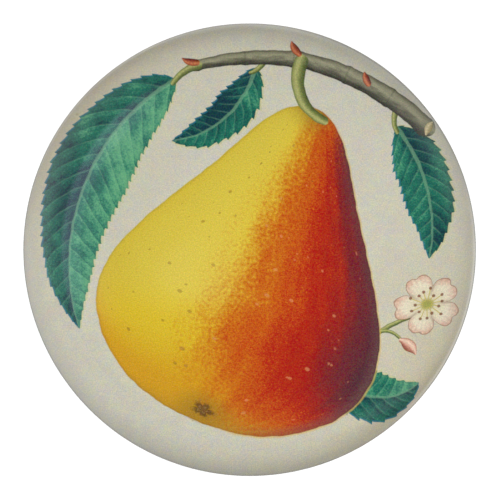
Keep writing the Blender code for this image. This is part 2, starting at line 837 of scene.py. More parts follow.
@dataclass(frozen=True)
class Press:
    """What the leaves and stems are printed with.

    Attributes:
        flat: The place on the sheet.
        at: The place on the drawing, with its hand-drawn wobble.
        grain: The grain of the inks.
        arc_frame: The effect that measures a place along an arc.
        leaf: The effect that draws a leaf.
        stem: The effect that draws a stem.
        wash_grain: Breadth of the tones in the leaves, in millimetres.
        streak_grain: Breadth of the streaks in bark.
        streak_stretch: Scale of the streaks along each axis.
    """

    flat: Place
    at: Place
    grain: Field
    arc_frame: Effect
    leaf: Effect
    stem: Effect
    wash_grain: float = 5.0
    streak_grain: float = 0.55
    streak_stretch: Stretch = (0.22, 1.0, 1.0)

    def print_leaves(self, leaves: tuple[Leaf, ...], colour: Tint) -> Tint:
        """Print leaves, with the yellow ink a little out of register under the green.

        Args:
            leaves: The leaves, from the back to the front.
            colour: The picture so far.

        Returns:
            The picture with the leaves.
        """
        wash = self.flat.noise(self.wash_grain, 3.0)
        for leaf in leaves:
            light, turn = leaf.tone.value
            drawn = self.leaf.placed(
                self.at.tree,
                **leaf.midrib.measured(self.arc_frame, self.at),
                Half_Width=leaf.half_width,
                Vein_Space=leaf.vein_space,
                Phase=leaf.phase,
                Light=light,
                Turn=turn,
                Wash=wash,
                Grain=self.grain,
            )
            colour = colour.under(Ink.LEAF_FRINGE, drawn["Fringe"] * 0.55)
            colour = colour.under(drawn["Colour"], drawn["Mask"])
        return colour

    def print_stems(self, stems: tuple[Stem, ...], colour: Tint) -> Tint:
        """Print twigs, stalks and buds.

        Args:
            stems: The stems, from the back to the front.
            colour: The picture so far.

        Returns:
            The picture with the stems.
        """
        for stem in stems:
            streak = self.grain
            if stem.bark == 1.0:
                lengthwise = self.flat.turned(stem.line.direction)
                streak = lengthwise.noise(self.streak_grain, 3.0, self.streak_stretch)
            drawn = self.stem.placed(
                self.at.tree,
                **stem.line.measured(self.arc_frame, self.at),
                Start=stem.start,
                End=stem.end,
                Belly=stem.belly,
                Bark=stem.bark,
                Streak=streak,
                Grain=self.grain,
                **stem.inks.sockets,
            )
            colour = colour.under(drawn["Colour"], drawn["Mask"])
        return colour


# --------------------------------------------------------------------------------------------
# Fruit and flower of the picture
# --------------------------------------------------------------------------------------------


@dataclass(frozen=True)
class PearSkin:
    """The spot of the pear's skin that is drawn at a place on the sheet.

    Attributes:
        right: Distance to the right of the pear's axis, in millimetres.
        height: Height above the eye, along the axis.
        up: The same as a share of the pear's length.
        gap: Distance outside the pear's outline, negative inside it.
        facing: How far the skin faces right, up the axis and out of the sheet.
        own: The same spot on the skin laid flat.
        flame: Streaks along the skin, from 0 to 1, as are the next three.
        cloud: Broad blotches.
        speck: The finest grain.
        crumb: A coarser grain.
    """

    right: Field
    height: Field
    up: Field
    gap: Field
    facing: tuple[Field, Field, Field]
    own: Place
    flame: Field
    cloud: Field
    speck: Field
    crumb: Field

    def towards(self, x: float, y: float, z: float) -> Field:
        """Tell how squarely the skin faces a direction.

        Args:
            x: The direction's part to the right.
            y: Its part up the axis.
            z: Its part out of the sheet.

        Returns:
            A number from -1 to 1.
        """
        reach = math.hypot(x, y, z)
        parts = [part * (share / reach) for part, share in zip(self.facing, (x, y, z))]
        return parts[0] + parts[1] + parts[2]


@dataclass(frozen=True)
class Pear:
    """The fruit of the picture, shaded as a solid turned about its own axis.

    Attributes:
        eye: The blossom end, in millimetres.
        tilt: Lean of the axis from upright, clockwise, in radians.
        length: From the blossom end to the shoulder at the stalk.
        half_width: The scale of its breadth.
        neck: How much narrower the neck is than the belly.
        flame_grain: Breadth of the streaks in the blush.
        cloud_grain: Breadth of the blotches in the blush.
        speck_grain: Size of the fine stipple.
        crumb_grain: Size of the coarse stipple.
        basin: Where the browned skin round the eye starts and is full.
        collar: Where the browned skin round the stalk starts and is full.
        dot_space: Usual distance between corky dots.
        dot_radius: Radius of the smallest dot.
        streak_girth: Radius that the skin is laid flat at for its streaks and blotches.
        dot_girth: Radius that it is laid flat at for its dots.
    """

    eye: Spot = (-9.6, -28.9)
    tilt: float = math.radians(23.0)
    length: float = 57.0
    half_width: float = 24.6
    neck: float = 0.53
    flame_grain: float = 2.6
    cloud_grain: float = 11.0
    speck_grain: float = 0.24
    crumb_grain: float = 0.55
    basin: Ramp = (7.0, 1.5)
    collar: Ramp = (5.5, 1.0)
    dot_space: float = 2.3
    dot_radius: float = 0.12
    streak_girth: float = 9.0
    dot_girth: float = 15.0

    def draw(self, at: Place, under: Tint) -> Tint:
        """Draw the fruit over what is already printed.

        Args:
            at: The place, with its hand-drawn wobble.
            under: The picture so far.

        Returns:
            The picture with the fruit.
        """
        skin = self._skin(at)
        colour = self._ground(skin, Tint.plain(at.tree, Ink.PEAR_YELLOW))
        blush = self._blush_share(skin)
        colour = self._blush(skin, blush, colour)
        colour = self._ends(skin, colour)
        colour = self._dots(skin, blush, colour)
        colour = self._shine(skin, colour)

        # The yellow ink lies a little to the right of the others and shows past the outline.
        above_foot = skin.up.step(-0.01, 0.0)
        slipped = skin.gap.step(0.42, 0.12) * skin.right.step(0.0, 9.0) * above_foot
        printed = under.under(Ink.PEAR_SLIPPED, slipped * 0.6)
        return printed.under(colour, skin.gap.inside(0.1) * above_foot)

    def _girth_squared(self, up: Field) -> Field:
        """Work out the outline.

        Args:
            up: A share of the length from the eye.

        Returns:
            The square of the half width there.
        """
        narrowing = 1.06 - up.step(0.16, 0.92) * self.neck
        girth = (up ** 0.86) * (1.0 - up) * 4.0 * self.half_width ** 2
        return girth * narrowing * narrowing

    def _skin(self, at: Place) -> PearSkin:
        """Find the spot of the skin that is drawn at a place.

        The outline and the surface both come from one solid: right^2 + depth^2 = girth^2.

        Args:
            at: The place, with its hand-drawn wobble.

        Returns:
            The spot.
        """
        sine, cosine = math.sin(self.tilt), math.cos(self.tilt)
        east, north = at.x - self.eye[0], at.y - self.eye[1]
        height = east * sine + north * cosine
        up = height / self.length
        lean = up.step(0.35, 1.05) * 1.6 - (up * math.pi).sine() * 0.7
        right = east * cosine - north * sine + lean

        nudge = 0.004
        girth = self._girth_squared(up)
        change = self._girth_squared(up + nudge) - self._girth_squared(up - nudge)
        slope = change / (2.0 * nudge * self.length)
        gap = (right * right - girth) / (right * right * 4.0 + slope * slope).root().at_least(1.0)

        depth = (girth - right * right).root()
        rise = slope * -0.5
        size = (right * right + rise * rise + depth * depth).root().at_least(0.1)
        turn = right.math("ARCTAN2", depth.at_least(0.01))
        laid = Place(turn * self.streak_girth, height, at.z + up * 3.0)
        return PearSkin(
            right=right,
            height=height,
            up=up,
            gap=gap,
            facing=(right / size, rise / size, depth / size),
            own=Place(turn * self.dot_girth, height, at.z),
            flame=laid.noise(self.flame_grain, 4.0, (2.2, 0.28, 1.0)),
            cloud=laid.noise(self.cloud_grain, 3.0),
            speck=at.noise(self.speck_grain, 3.0),
            crumb=at.noise(self.crumb_grain, 2.0),
        )

    @staticmethod
    def _ground(skin: PearSkin, colour: Tint) -> Tint:
        """Shade the yellow ground: paler where the light falls and golder as it turns away.

        Args:
            skin: The spot of the skin.
            colour: The first yellow ink.

        Returns:
            The ground.
        """
        light = skin.towards(-0.55, 0.35, 0.8)
        colour = colour.under(Ink.PEAR_SUNLIT, light.step(0.74, 1.0) * 0.7)
        colour = colour.under(Ink.PEAR_GOLD, light.step(0.74, 0.2) * 0.8)
        colour = colour.under(Ink.PEAR_OCHRE, light.step(0.2, -0.25) * 0.5)
        green = skin.towards(-0.9, 0.6, 0.1).step(0.35, 1.0)
        return colour.under(Ink.PEAR_GREEN, green * 0.3)

    @staticmethod
    def _blush_share(skin: PearSkin) -> Field:
        """How far the blush has come: it grows to the right and fades at the neck."""
        blush = skin.towards(0.86, 0.05, 0.42) + (skin.flame - 0.5) * 0.4 + (skin.cloud - 0.5) * 0.36
        return blush - skin.up.step(0.72, 1.0) * 0.18

    @staticmethod
    def _orange_share(skin: PearSkin, blush: Field) -> Field:
        """How much of the skin the first stipple of the blush covers."""
        return (blush + (skin.crumb - 0.5) * 0.6).step(0.0, 0.52)

    def _blush(self, skin: PearSkin, blush: Field, colour: Tint) -> Tint:
        """Lay orange, red and plum inks in turn, each a stipple that thickens to the right.

        Args:
            skin: The spot of the skin.
            blush: How far the blush has come there.
            colour: The fruit so far.

        Returns:
            The fruit with its blush.
        """
        speck, crumb = skin.speck - 0.5, skin.crumb - 0.5
        colour = colour.under(Ink.PEAR_ORANGE, self._orange_share(skin, blush) * 0.94)
        coarse = (blush + speck * 0.9 + crumb * 0.45).step(0.28, 0.82)
        colour = colour.under(Ink.PEAR_RED, coarse * 0.95)
        colour = colour.under(Ink.PEAR_DEEP_RED, (blush + speck * 0.5).step(0.56, 0.98) * 0.85)
        dusk = skin.towards(0.93, 0.06, 0.12) + (skin.flame - 0.5) * 0.22 + speck * 0.25
        colour = colour.under(Ink.PEAR_PLUM, dusk.step(0.56, 1.0) * 0.95)
        rim = skin.gap.step(-2.4, -0.2) * skin.towards(0.9, -0.3, 0.0).step(0.3, 0.9)
        return colour.under(Ink.PEAR_RIM, rim * 0.5)

    def _ends(self, skin: PearSkin, colour: Tint) -> Tint:
        """Let the skin dip and brown round the eye and the stalk.

        Args:
            skin: The spot of the skin.
            colour: The fruit so far.

        Returns:
            The fruit with its eye.
        """
        aside, above = skin.right - 0.8, (skin.height - 2.2) * 1.7
        basin = aside.diagonal(above)
        colour = colour.under(Ink.BASIN, basin.step(*self.basin) * 0.45)
        crumb, cloud = skin.crumb - 0.5, skin.cloud - 0.5
        sepal = ((above.math("ARCTAN2", aside) * 2.5).cosine().size() ** 0.6) * 1.1 + 0.6
        ragged = basin + crumb * 1.8 + cloud * 1.5 - sepal
        colour = colour.under(Ink.SEPAL, ragged.step(0.7, -0.3) * 0.85)
        colour = colour.under(Ink.SEPAL_RIDGE, (ragged + 0.9).bell(0.0, 0.25) * 0.45)
        collar = skin.right.diagonal(skin.height - self.length)
        return colour.under(Ink.COLLAR, (collar + crumb * 2.0).step(*self.collar) * 0.55)

    def _dots(self, skin: PearSkin, blush: Field, colour: Tint) -> Tint:
        """Scatter corky dots, fine on the neck and larger near the eye, and pale on the blush.

        Args:
            skin: The spot of the skin.
            blush: How far the blush has come there.
            colour: The fruit so far.

        Returns:
            The fruit with its dots.
        """
        distance, own = skin.own.spots(self.dot_space)
        radius = self.dot_radius + own * 0.16 + skin.up.step(0.7, 0.0) * 0.06
        dots = distance.step(radius + 0.1, radius - 0.06) * skin.facing[2].step(0.1, 0.6)
        on_yellow = colour.under(Ink.CORK, dots * 0.55)
        on_red = colour.under(Ink.CORK_ON_RED, dots * 0.45)
        return on_yellow.under(on_red, self._orange_share(skin, blush))

    @staticmethod
    def _shine(skin: PearSkin, colour: Tint) -> Tint:
        """Add a soft shine high on the belly and another on the neck, and a drawn edge.

        Args:
            skin: The spot of the skin.
            colour: The fruit so far.

        Returns:
            The finished fruit.
        """
        belly = skin.towards(-0.42, 0.3, 0.86).step(0.93, 1.0) * skin.up.bell(0.36, 0.26)
        neck = skin.towards(-0.35, 0.1, 0.94).step(0.9, 1.0) * skin.up.bell(0.82, 0.1)
        shine = (belly * 0.13 + neck * 0.16) * (0.75 + skin.speck * 0.5)
        colour = colour.under(Ink.PEAR_SHINE, shine)
        colour = colour.scaled(1.0 - skin.gap.step(-0.55, -0.05) * 0.16)
        return colour.scaled(0.94 + skin.speck * 0.12)


@dataclass(frozen=True)
class Blossom:
    """An open flower of the picture.

    Attributes:
        centre: Its middle, in millimetres.
        radius: Reach of its petals.
        turn: Turn of the petals, in radians.
        squash: Height over width, as it faces a little away.
        lean: Direction of the squash, in radians.
        petals: How many petals it has.
        threads: How many threads stand in its middle.
        thread_reach: How far they reach, as a share of the petals' reach.
        speck_grain: Size of the stipple in the petals.
        frill_grain: Size of the frills of their edges.
    """

    centre: Spot
    radius: float
    turn: float
    squash: float = 0.86
    lean: float = 0.5
    petals: int = 5
    threads: int = 15
    thread_reach: float = 0.44
    speck_grain: float = 0.4
    frill_grain: float = 1.8

    def draw(self, at: Place, under: Tint) -> Tint:
        """Draw the flower over what is already printed.

        Args:
            at: The place, with its hand-drawn wobble.
            under: The picture so far.

        Returns:
            The picture with the flower.
        """
        sine, cosine = math.sin(self.lean), math.cos(self.lean)
        east, north = at.x - self.centre[0], at.y - self.centre[1]
        wide = east * cosine + north * sine
        tall = (north * cosine - east * sine) / self.squash
        reach = wide.diagonal(tall)
        angle = tall.math("ARCTAN2", wide) + self.turn
        share = (angle * (self.petals / math.tau)).fraction() - 0.5
        off = share.size() * 2.0
        speck = at.noise(self.speck_grain, 2.0)
        frill = at.noise(self.frill_grain, 2.0)

        notch = (off ** 3.4) * 0.42 + share.bell(0.0, 0.07) * 0.07
        gap = reach - (self.radius * (1.0 - notch) + (frill - 0.5) * 0.9)
        mask = gap.inside()
        near = reach / self.radius

        colour = Tint.plain(at.tree, Ink.PETAL)
        colour = colour.under(Ink.PETAL_HEART, near.step(0.75, 0.25) * 0.8)
        pink = (near + (speck - 0.5) * 0.5 + (off - 0.4) * 0.2).step(0.55, 1.05)
        colour = colour.under(Ink.PETAL_PINK, pink * 0.6)
        veins = ((share * 46.0).sine() * 0.5 + 0.5) * near.step(0.3, 0.8)
        colour = colour.scaled(1.0 - veins * 0.09)
        fold = off.step(0.72, 1.0) * 0.34 + share.step(0.2, 0.5) * 0.16
        colour = colour.under(Ink.PETAL_FOLD, fold * near.step(0.2, 0.5))
        colour = colour.under(Ink.PETAL_LINE, gap.step(-0.34, -0.04) * 0.65)
        colour = self._middle(reach, angle, colour)
        return under.under(colour, mask)

    def _middle(self, reach: Field, angle: Field, colour: Tint) -> Tint:
        """Draw a green cup, and a ring of threads with a dark tip each.

        Args:
            reach: Distance from the flower's middle.
            angle: Direction from its middle.
            colour: The petals.

        Returns:
            The whole flower.
        """
        near = reach / self.radius
        colour = colour.under(Ink.CUP, near.step(0.26, 0.12) * 0.9)
        count = angle * (self.threads / math.tau) + 0.3
        aside = (count.fraction() - 0.5) * reach * (math.tau / self.threads)
        wander = (count.math("FLOOR") * 2.4).sine() * 0.11
        thread = aside.size().step(0.13, 0.05) * near.step(0.08, 0.14)
        thread = thread * (near - wander).step(self.thread_reach + 0.01, self.thread_reach - 0.04)
        colour = colour.under(Ink.THREAD, thread * 0.9)
        tip = aside.diagonal((near - self.thread_reach - wander) * self.radius)
        return colour.under(Ink.THREAD_TIP, tip.step(0.36, 0.2) * 0.85)


@dataclass(frozen=True)
class PrintedPaper:
    """Finish of the sheet: cream paper with the fruit picture printed in soft inks, under painted
    light and painted shade.

    Attributes:
        face_height: Height of the printed face, in millimetres.
        reduction: Scale of the picture on the sheet.
        ink_grain: Size of the grain of the inks.
        waver: How far the drawing wavers.
        waver_grain: Breadth of one waver.
        mottle_grain: Size of the flecks and fibres in the paper.
        tint_grain: Size of its faint tints.
        stain_grain: Size of its stains.
        foxing_space: Usual distance between spots of foxing.
        press_grain: Size of the grain over the whole print.
        speck_space: Usual distance between dark specks.
        paler: Where painted light starts to make the print paler outwards and where it is palest.
        darker: Where painted shade starts to darken its rim and where it is darkest.
        leaves: Its leaves.
        back_stems: The stems behind the fruit.
        front_stems: The stems before the fruit.
        buds: Its buds.
    """

    face_height: float
    reduction: float = 0.94
    ink_grain: float = 0.3
    waver: float = 0.5
    waver_grain: float = 2.4
    mottle_grain: float = 0.5
    tint_grain: float = 1.8
    stain_grain: float = 16.0
    foxing_space: float = 6.5
    press_grain: float = 0.2
    speck_space: float = 3.4
    paler: Ramp = (20.0, 34.0)
    darker: Ramp = (32.0, 36.5)

    leaves: tuple[Leaf, ...] = (
        Leaf(Arc((-12.6, 29.0), (-29.0, -13.5), -8.0), 6.6, Tone.LIT, 0.15, 3.1),
        Leaf(Arc((25.0, 20.8), (30.6, -1.5), 2.5), 4.5, Tone.TURNED, 0.6, 2.3),
        Leaf(Arc((1.0, 31.0), (-13.4, 18.6), 3.0), 3.5, Tone.DEEP, 0.35, 1.9),
        Leaf(Arc((14.5, -21.2), (28.8, -22.6), -3.2), 4.4, Tone.LIT, 0.8, 2.2),
    )
    back_stems: tuple[Stem, ...] = (
        Stem(Arc((13.0, -21.0), (30.0, -10.5), 1.2), 0.5, 0.36, StemInks.GREEN),
        Stem(Arc((22.3, -13.9), (26.0, -15.6), 0.6), 0.32, 0.26, StemInks.GREEN),
    )
    front_stems: tuple[Stem, ...] = (
        Stem(Arc((25.1, 20.0), (25.4, 24.4), 0.6), 0.36, 0.6, StemInks.GREEN),
        Stem(Arc((0.2, 30.2), (2.6, 32.4), -0.4), 0.3, 0.6, StemInks.GREEN),
        Stem(Arc((8.2, 32.4), (30.0, 20.9), 1.7), 1.35, 1.75, StemInks.TWIG, bark=1.0),
        Stem(Arc((30.0, 19.6), (31.2, 21.7), 0.15), 0.2, 0.2, StemInks.CUT_WOOD, 0.42),
        Stem(Arc((-9.4, 31.2), (8.6, 32.3), 0.9), 0.85, 1.4, StemInks.TWIG, bark=1.0),
        Stem(Arc((-13.0, 28.4), (-8.8, 31.3), 0.5), 0.4, 0.75, StemInks.GREEN),
        Stem(Arc((12.7, 22.0), (8.8, 32.0), 2.2), 0.75, 1.25, StemInks.GREEN),
    )
    buds: tuple[Stem, ...] = (
        Stem(Arc((-9.0, 31.8), (-11.4, 32.6), 0.2), 0.5, 0.15, StemInks.BUD_SCALES, 0.25),
        Stem(Arc((8.4, 33.4), (7.2, 35.4), 0.2), 0.55, 0.15, StemInks.BUD_SCALES, 0.3),
        Stem(Arc((20.2, 28.2), (19.6, 30.2), 0.2), 0.5, 0.12, StemInks.BUD_SCALES, 0.25),
        Stem(Arc((25.8, -15.5), (28.2, -17.7), 0.3), 0.4, 0.2, StemInks.PINK_BUD, 0.75),
    )

    def make(self) -> bpy.types.Material:
        """Make the material.

        Returns:
            The material.
        """
        surface = Surface("printed_paper", Specular_IOR_Level=0.1)
        at = Place.on(surface.tree)
        drawn = self._drawn(at)
        grain = at.noise(self.ink_grain, 2.0)
        colour = self._paper(at)
        press = Press(
            flat=at,
            at=drawn,
            grain=grain,
            arc_frame=Effect("arc frame", ARC_TAKES, ARC_GIVES, draw_arc_frame),
            leaf=Effect("printed leaf", LEAF_TAKES, LEAF_GIVES, draw_leaf),
            stem=Effect("printed stem", STEM_TAKES, STEM_GIVES, draw_stem),
        )
        colour = press.print_stems(self.back_stems, colour)
        colour = press.print_leaves(self.leaves, colour)
        colour = Pear().draw(drawn, colour)
        colour = press.print_stems((*self.front_stems, *self.buds), colour)
        colour = Blossom((30.2, -9.3), 5.9, 0.4).draw(drawn, colour)
        colour = self._aged_with_painted_light(at, colour)
        printed = at.z.step(self.face_height - 0.06, self.face_height - 0.02)
        colour = Tint.plain(surface.tree, Ink.CUT_EDGE).under(colour, printed)

        feed_all(surface.shader, Base_Color=colour, Roughness=0.62 + grain * 0.3)
        surface.roughen(grain, 0.25, 0.02 * MM)
        return surface.material

    def _drawn(self, at: Place) -> Place:
        """Measure on the drawing, which is reduced to fit and wavers as a hand does.

        Args:
            at: The place on the sheet.

        Returns:
            The place on the drawing.
        """
        channels = at.tints(self.waver_grain, 2.0).channels()
        shift = [(channel - 0.5) * self.waver for channel in channels[:2]]
        larger = 1.0 / self.reduction
        return Place(at.x * larger + shift[0], at.y * larger + shift[1], at.z)

    def _paper(self, at: Place) -> Tint:
        """Bare paper: a mottle of faint tints, fibres and a few age spots.

        Args:
            at: The place on the sheet.

        Returns:
            The paper.
        """
        colour = Tint.plain(at.tree, Ink.STOCK)
        mottle = at.noise(self.mottle_grain, 2.0).step(0.34, 0.66)
        flecks = Tint.plain(at.tree, Ink.WARM_FLECK).under(Ink.COOL_FLECK, mottle)
        colour = colour.under(flecks, 0.17)
        colour = colour.under(at.tints(self.tint_grain, 2.0), 0.22, "SOFT_LIGHT")
        stained = at.noise(self.stain_grain, 2.0).step(0.45, 0.8)
        colour = colour.under(Ink.STAIN, stained * 0.1)
        # Warmer towards the edge at the upper left and the lower right.
        warm_diagonal = at.x * 0.0228 - at.y * 0.0158
        colour = colour.under(Ink.YELLOWED, (warm_diagonal * warm_diagonal) ** 2.0 * 0.3)
        fibre = at.noise(self.mottle_grain, 2.0, (0.25, 2.2, 1.0))
        other = at.noise(self.mottle_grain, 2.0, (2.0, 0.3, 1.0))
        colour = colour.scaled(0.965 + fibre.at_most(other) * 0.08)
        distance, own = at.spots(self.foxing_space)
        foxed = distance.step(own * 0.5, own * 0.16) * own.step(0.62, 0.7)
        return colour.under(Ink.FOXING, foxed * 0.3)

    def _aged_with_painted_light(self, at: Place, colour: Tint) -> Tint:
        """Press grain over everything, add painted light across the print and painted shade at its
        rim, and add a few dark specks.

        Args:
            at: The place on the sheet.
            colour: The picture.

        Returns:
            The aged picture, with its painted light and shade.
        """
        fine, tints = at.clouds(self.press_grain, 1.0)
        colour = colour.under(tints, 0.14, "SOFT_LIGHT").scaled(0.77 + fine * 0.46)
        colour = colour.under(tints, 0.05, "LINEAR_LIGHT")
        reach = at.reach()
        # Painted light: lighter towards the right and the bottom, and outwards from 20 mm off the
        # axis.
        lightness = at.x * 0.0008 - at.y * 0.0018 + reach.step(*self.paler) * 0.1 + 0.975
        colour = colour.scaled(lightness)
        # Painted shade darkens the rim of the print.
        colour = colour.scaled(1.0 - reach.step(*self.darker) * 0.13)
        distance, own = at.spots(self.speck_space)
        speck = distance.step(0.16, 0.08) * own.step(0.9, 0.93)
        return colour.under(Ink.SPECK, speck * 0.6)


# --------------------------------------------------------------------------------------------
# Other finishes
# --------------------------------------------------------------------------------------------


@dataclass(frozen=True)
class ClearGlass:
    """Clear fire-polished glass with a faint unevenness left from the mould.

    Attributes:
        index: How strongly it bends light.
        tint: Its own colour.
        ripple: Depth of the unevenness.
        swell: Breadth of the unevenness, in millimetres.
    """

    index: float = 1.52
    tint: Colour = (0.985, 0.995, 0.985)
    ripple: float = 0.004 * MM
    swell: float = 14.0

    def make(self) -> bpy.types.Material:
        """Make the material.

        Returns:
            The material.
        """
        surface = Surface(
            "clear_glass",
            Transmission_Weight=1.0,
            Roughness=0.0,
            IOR=self.index,
            Base_Color=self.tint,
        )
        surface.roughen(Place.on(surface.tree).noise(self.swell, 1.0), 1.0, self.ripple)
        return surface.material


@dataclass(frozen=True)
class PressedFelt:
    """Dense wool felt: matted fibres in several greens, with lint on it.

    Attributes:
        depth: Depth of the matted fibres.
        fibre_grain: Breadth of a tuft of fibres, in millimetres.
        slant_grain: Breadth of a slanting tuft.
        cloud_grain: Breadth of the darker and lighter clouds.
        lint_space: Usual distance between flecks of lint.
    """

    depth: float = 0.12 * MM
    fibre_grain: float = 0.32
    slant_grain: float = 0.45
    cloud_grain: float = 9.0
    lint_space: float = 1.9

    def make(self) -> bpy.types.Material:
        """Make the material.

        Returns:
            The material.
        """
        surface = Surface(
            "pressed_felt", Specular_IOR_Level=0.15, Sheen_Weight=0.35, Sheen_Roughness=0.5
        )
        at = Place.on(surface.tree)
        lengthwise = at.noise(self.fibre_grain, 3.0, (1.0, 0.22, 1.0))
        crosswise = at.noise(self.fibre_grain, 3.0, (0.22, 1.0, 1.0))
        slanting = at.noise(self.slant_grain, 2.0, (0.7, 0.7, 0.3))
        matted = lengthwise.at_most(crosswise) + slanting * 0.4
        cloud = at.noise(self.cloud_grain, 3.0)
        colour = Tint.plain(surface.tree, Ink.FELT_DARK).under(Ink.FELT_LIGHT, matted.step(0.4, 0.85))
        colour = colour.scaled(0.85 + cloud * 0.3)
        distance, own = at.spots(self.lint_space)
        flecks = distance.step(0.11, 0.04) * own.step(0.72, 0.76)
        colour = colour.under(Ink.LINT, flecks * 0.5)
        feed_all(surface.shader, Base_Color=colour, Roughness=0.85 + matted * 0.12)
        surface.roughen(matted, 0.9, self.depth)
        return surface.material


# --------------------------------------------------------------------------------------------
# Pieces
# --------------------------------------------------------------------------------------------

Ring = tuple[float, float]

SHARP_ANGLE = math.radians(35.0)


def deselect_all() -> None:
    """Leave edit mode with nothing selected."""
    if bpy.context.object and bpy.context.object.mode == "EDIT":
        bpy.ops.object.mode_set(mode="OBJECT")
    bpy.ops.object.select_all(action="DESELECT")


def rounding(
    centre: Ring, across: float, up: float, start: float, end: float, steps: int
) -> list[Ring]:
    """Points on an arc of a circle or an ellipse, without its first point.

    Args:
        centre: Radius and height of the arc's centre.
        across: Half width of the ellipse.
        up: Half height of the ellipse.
        start: Angle at the start: 0 is outermost and a quarter turn is the top.
        end: Angle at the end.
        steps: How many points.

    Returns:
        The radius and height of each point.
    """
    angles = (start + (end - start) * step / steps for step in range(1, steps + 1))
    return [(centre[0] + across * math.cos(a), centre[1] + up * math.sin(a)) for a in angles]


def raised_solid(name: str, rings: list[Ring], crown: float, turns: int) -> bpy.types.Object:
    """Raise a round solid from a disc, extruding and resizing its cap ring by ring.

    Args:
        name: The piece's name.
        rings: Radius and height of each ring, from the underside to the top.
        crown: Height of the middle of the cap.
        turns: How many sides.

    Returns:
        The closed piece.
    """
    deselect_all()
    radius, height = rings[0]
    bpy.ops.mesh.primitive_circle_add(
        vertices=turns, radius=radius, fill_type="TRIFAN", location=(0.0, 0.0, height)
    )
    piece = bpy.context.object
    piece.name = name
    piece.data.name = name
    bpy.ops.object.transform_apply(location=True)
    bpy.ops.object.mode_set(mode="EDIT")
    bpy.ops.mesh.select_mode(type="FACE")
    bpy.ops.mesh.select_all(action="SELECT")
    for (radius, height), (next_radius, next_height) in zip(rings, rings[1:]):
        rise = (0.0, 0.0, next_height - height)
        bpy.ops.mesh.extrude_region_move(TRANSFORM_OT_translate={"value": rise})
        share = next_radius / radius
        middle = (0.0, 0.0, next_height)
        bpy.ops.transform.resize(value=(share, share, 1.0), center_override=middle)
    bpy.ops.object.mode_set(mode="OBJECT")
    pole = max(piece.data.vertices, key=lambda spot: (spot.co.z, -spot.co.xy.length))
    pole.co.z = crown
    bpy.ops.object.mode_set(mode="EDIT")
    bpy.ops.mesh.select_all(action="SELECT")
    bpy.ops.mesh.normals_make_consistent(inside=False)
    bpy.ops.object.mode_set(mode="OBJECT")
    bpy.ops.object.shade_smooth_by_angle(angle=SHARP_ANGLE)
    return piece


def settle(piece: bpy.types.Object, node: str, material: bpy.types.Material) -> None:
    """Dress a piece, and tell the frame what it stands for.

    Args:
        piece: The finished piece.
        node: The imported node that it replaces.
        material: Its finish.
    """
    piece.data.materials.clear()
    piece.data.materials.append(material)
    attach(piece, BODY)
    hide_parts(node)
    triangles = sum(len(face.vertices) - 2 for face in piece.data.polygons)
    log.info("%s: %d triangles", piece.name, triangles)


@dataclass
class DomeGlass:
    """The solid dome of clear glass, bonded to the printed sheet below it.

    Attributes:
        radius: Widest girth.
        base: Height of the ground face.
        crown: Height of the top.
        bond: Height of the underside of the paste, just inside the sheet.
        girth_height: Height of the girth above the ground face.
        tuck_radius: Radius of the side's tuck below the girth.
        arris: Small bevel between the tuck and the ground face.
        turns: Sides of each ring.
        dome_rings: Rings from the girth to the top.
        tuck_rings: Rings of the tuck.
        finish: Its glass.
    """

    radius: float
    base: float
    crown: float
    bond: float
    girth_height: float = 5.5 * MM
    tuck_radius: float = 9.0 * MM
    arris: float = 0.5 * MM
    turns: int = 192
    dome_rings: int = 72
    tuck_rings: int = 8
    finish: ClearGlass = ClearGlass()

    def build(self) -> None:
        """Build and dress the dome."""
        girth = self.base + self.girth_height
        tuck = math.asin((self.girth_height - self.arris) / self.tuck_radius)
        tuck_arc = ((self.radius - self.tuck_radius, girth), self.tuck_radius, self.tuck_radius)
        tuck_foot = rounding(*tuck_arc, 0.0, -tuck, 1)[0]
        face = tuck_foot[0] - self.arris
        rings = [(face, self.bond), (face, self.base), tuck_foot]
        rings += rounding(*tuck_arc, -tuck, 0.0, self.tuck_rings)
        dome_arc = ((0.0, girth), self.radius, self.crown - girth)
        rings += rounding(*dome_arc, 0.0, QUARTER, self.dome_rings)[:-1]
        dome = raised_solid("dome_glass", rings, self.crown, self.turns)
        settle(dome, "glass_dome", self.finish.make())


@dataclass
class PrintedSheet:
    """The round printed sheet, cut out by hand.

    Attributes:
        radius: Radius of the sheet.
        base: Height of its underside.
        top: Height of its printed face.
        turns: Sides of each ring.
        edge_round: Softening of its cut edge.
        face_share: Share of the bake map's width that the printed face fills.
        corner_share: Share of the width that the rest of the sheet fills.
    """

    radius: float
    base: float
    top: float
    turns: int = 360
    edge_round: float = 0.05 * MM
    face_share: float = 0.98
    corner_share: float = 0.13

    def build(self) -> None:
        """Build and dress the sheet."""
        cut = self.radius - self.edge_round
        half = self.radius * 0.5
        rings = [
            (half, self.base),
            (cut, self.base),
            (self.radius, self.base + self.edge_round),
            (self.radius, self.top - self.edge_round),
            (cut, self.top),
            (half, self.top),
        ]
        sheet = raised_solid("print_under_glass", rings, self.top, self.turns)
        self._lay_out(sheet.data)
        settle(sheet, "printed_sheet", PrintedPaper(self.top / MM).make())

    def _lay_out(self, mesh: bpy.types.Mesh) -> None:
        """Give the printed face nearly all of the bake map, and the rest a corner of it.

        Args:
            mesh: The sheet's mesh.
        """
        layer = mesh.uv_layers.new(name=BAKE_MAP)
        margin = 0.002
        edge_spread = 0.06
        for face in mesh.polygons:
            printed = face.normal.z > 0.5
            share = self.face_share if printed else self.corner_share
            middle = 0.5 if printed else self.corner_share * 0.5 + margin
            for loop in face.loop_indices:
                spot = mesh.vertices[mesh.loops[loop].vertex_index].co
                reach = share / (2.0 * self.radius)
                if abs(face.normal.z) < 0.5:
                    reach *= 1.0 + (spot.z - self.base) / (self.top - self.base) * edge_spread
                layer.data[loop].uv = (middle + spot.x * reach, middle + spot.y * reach)


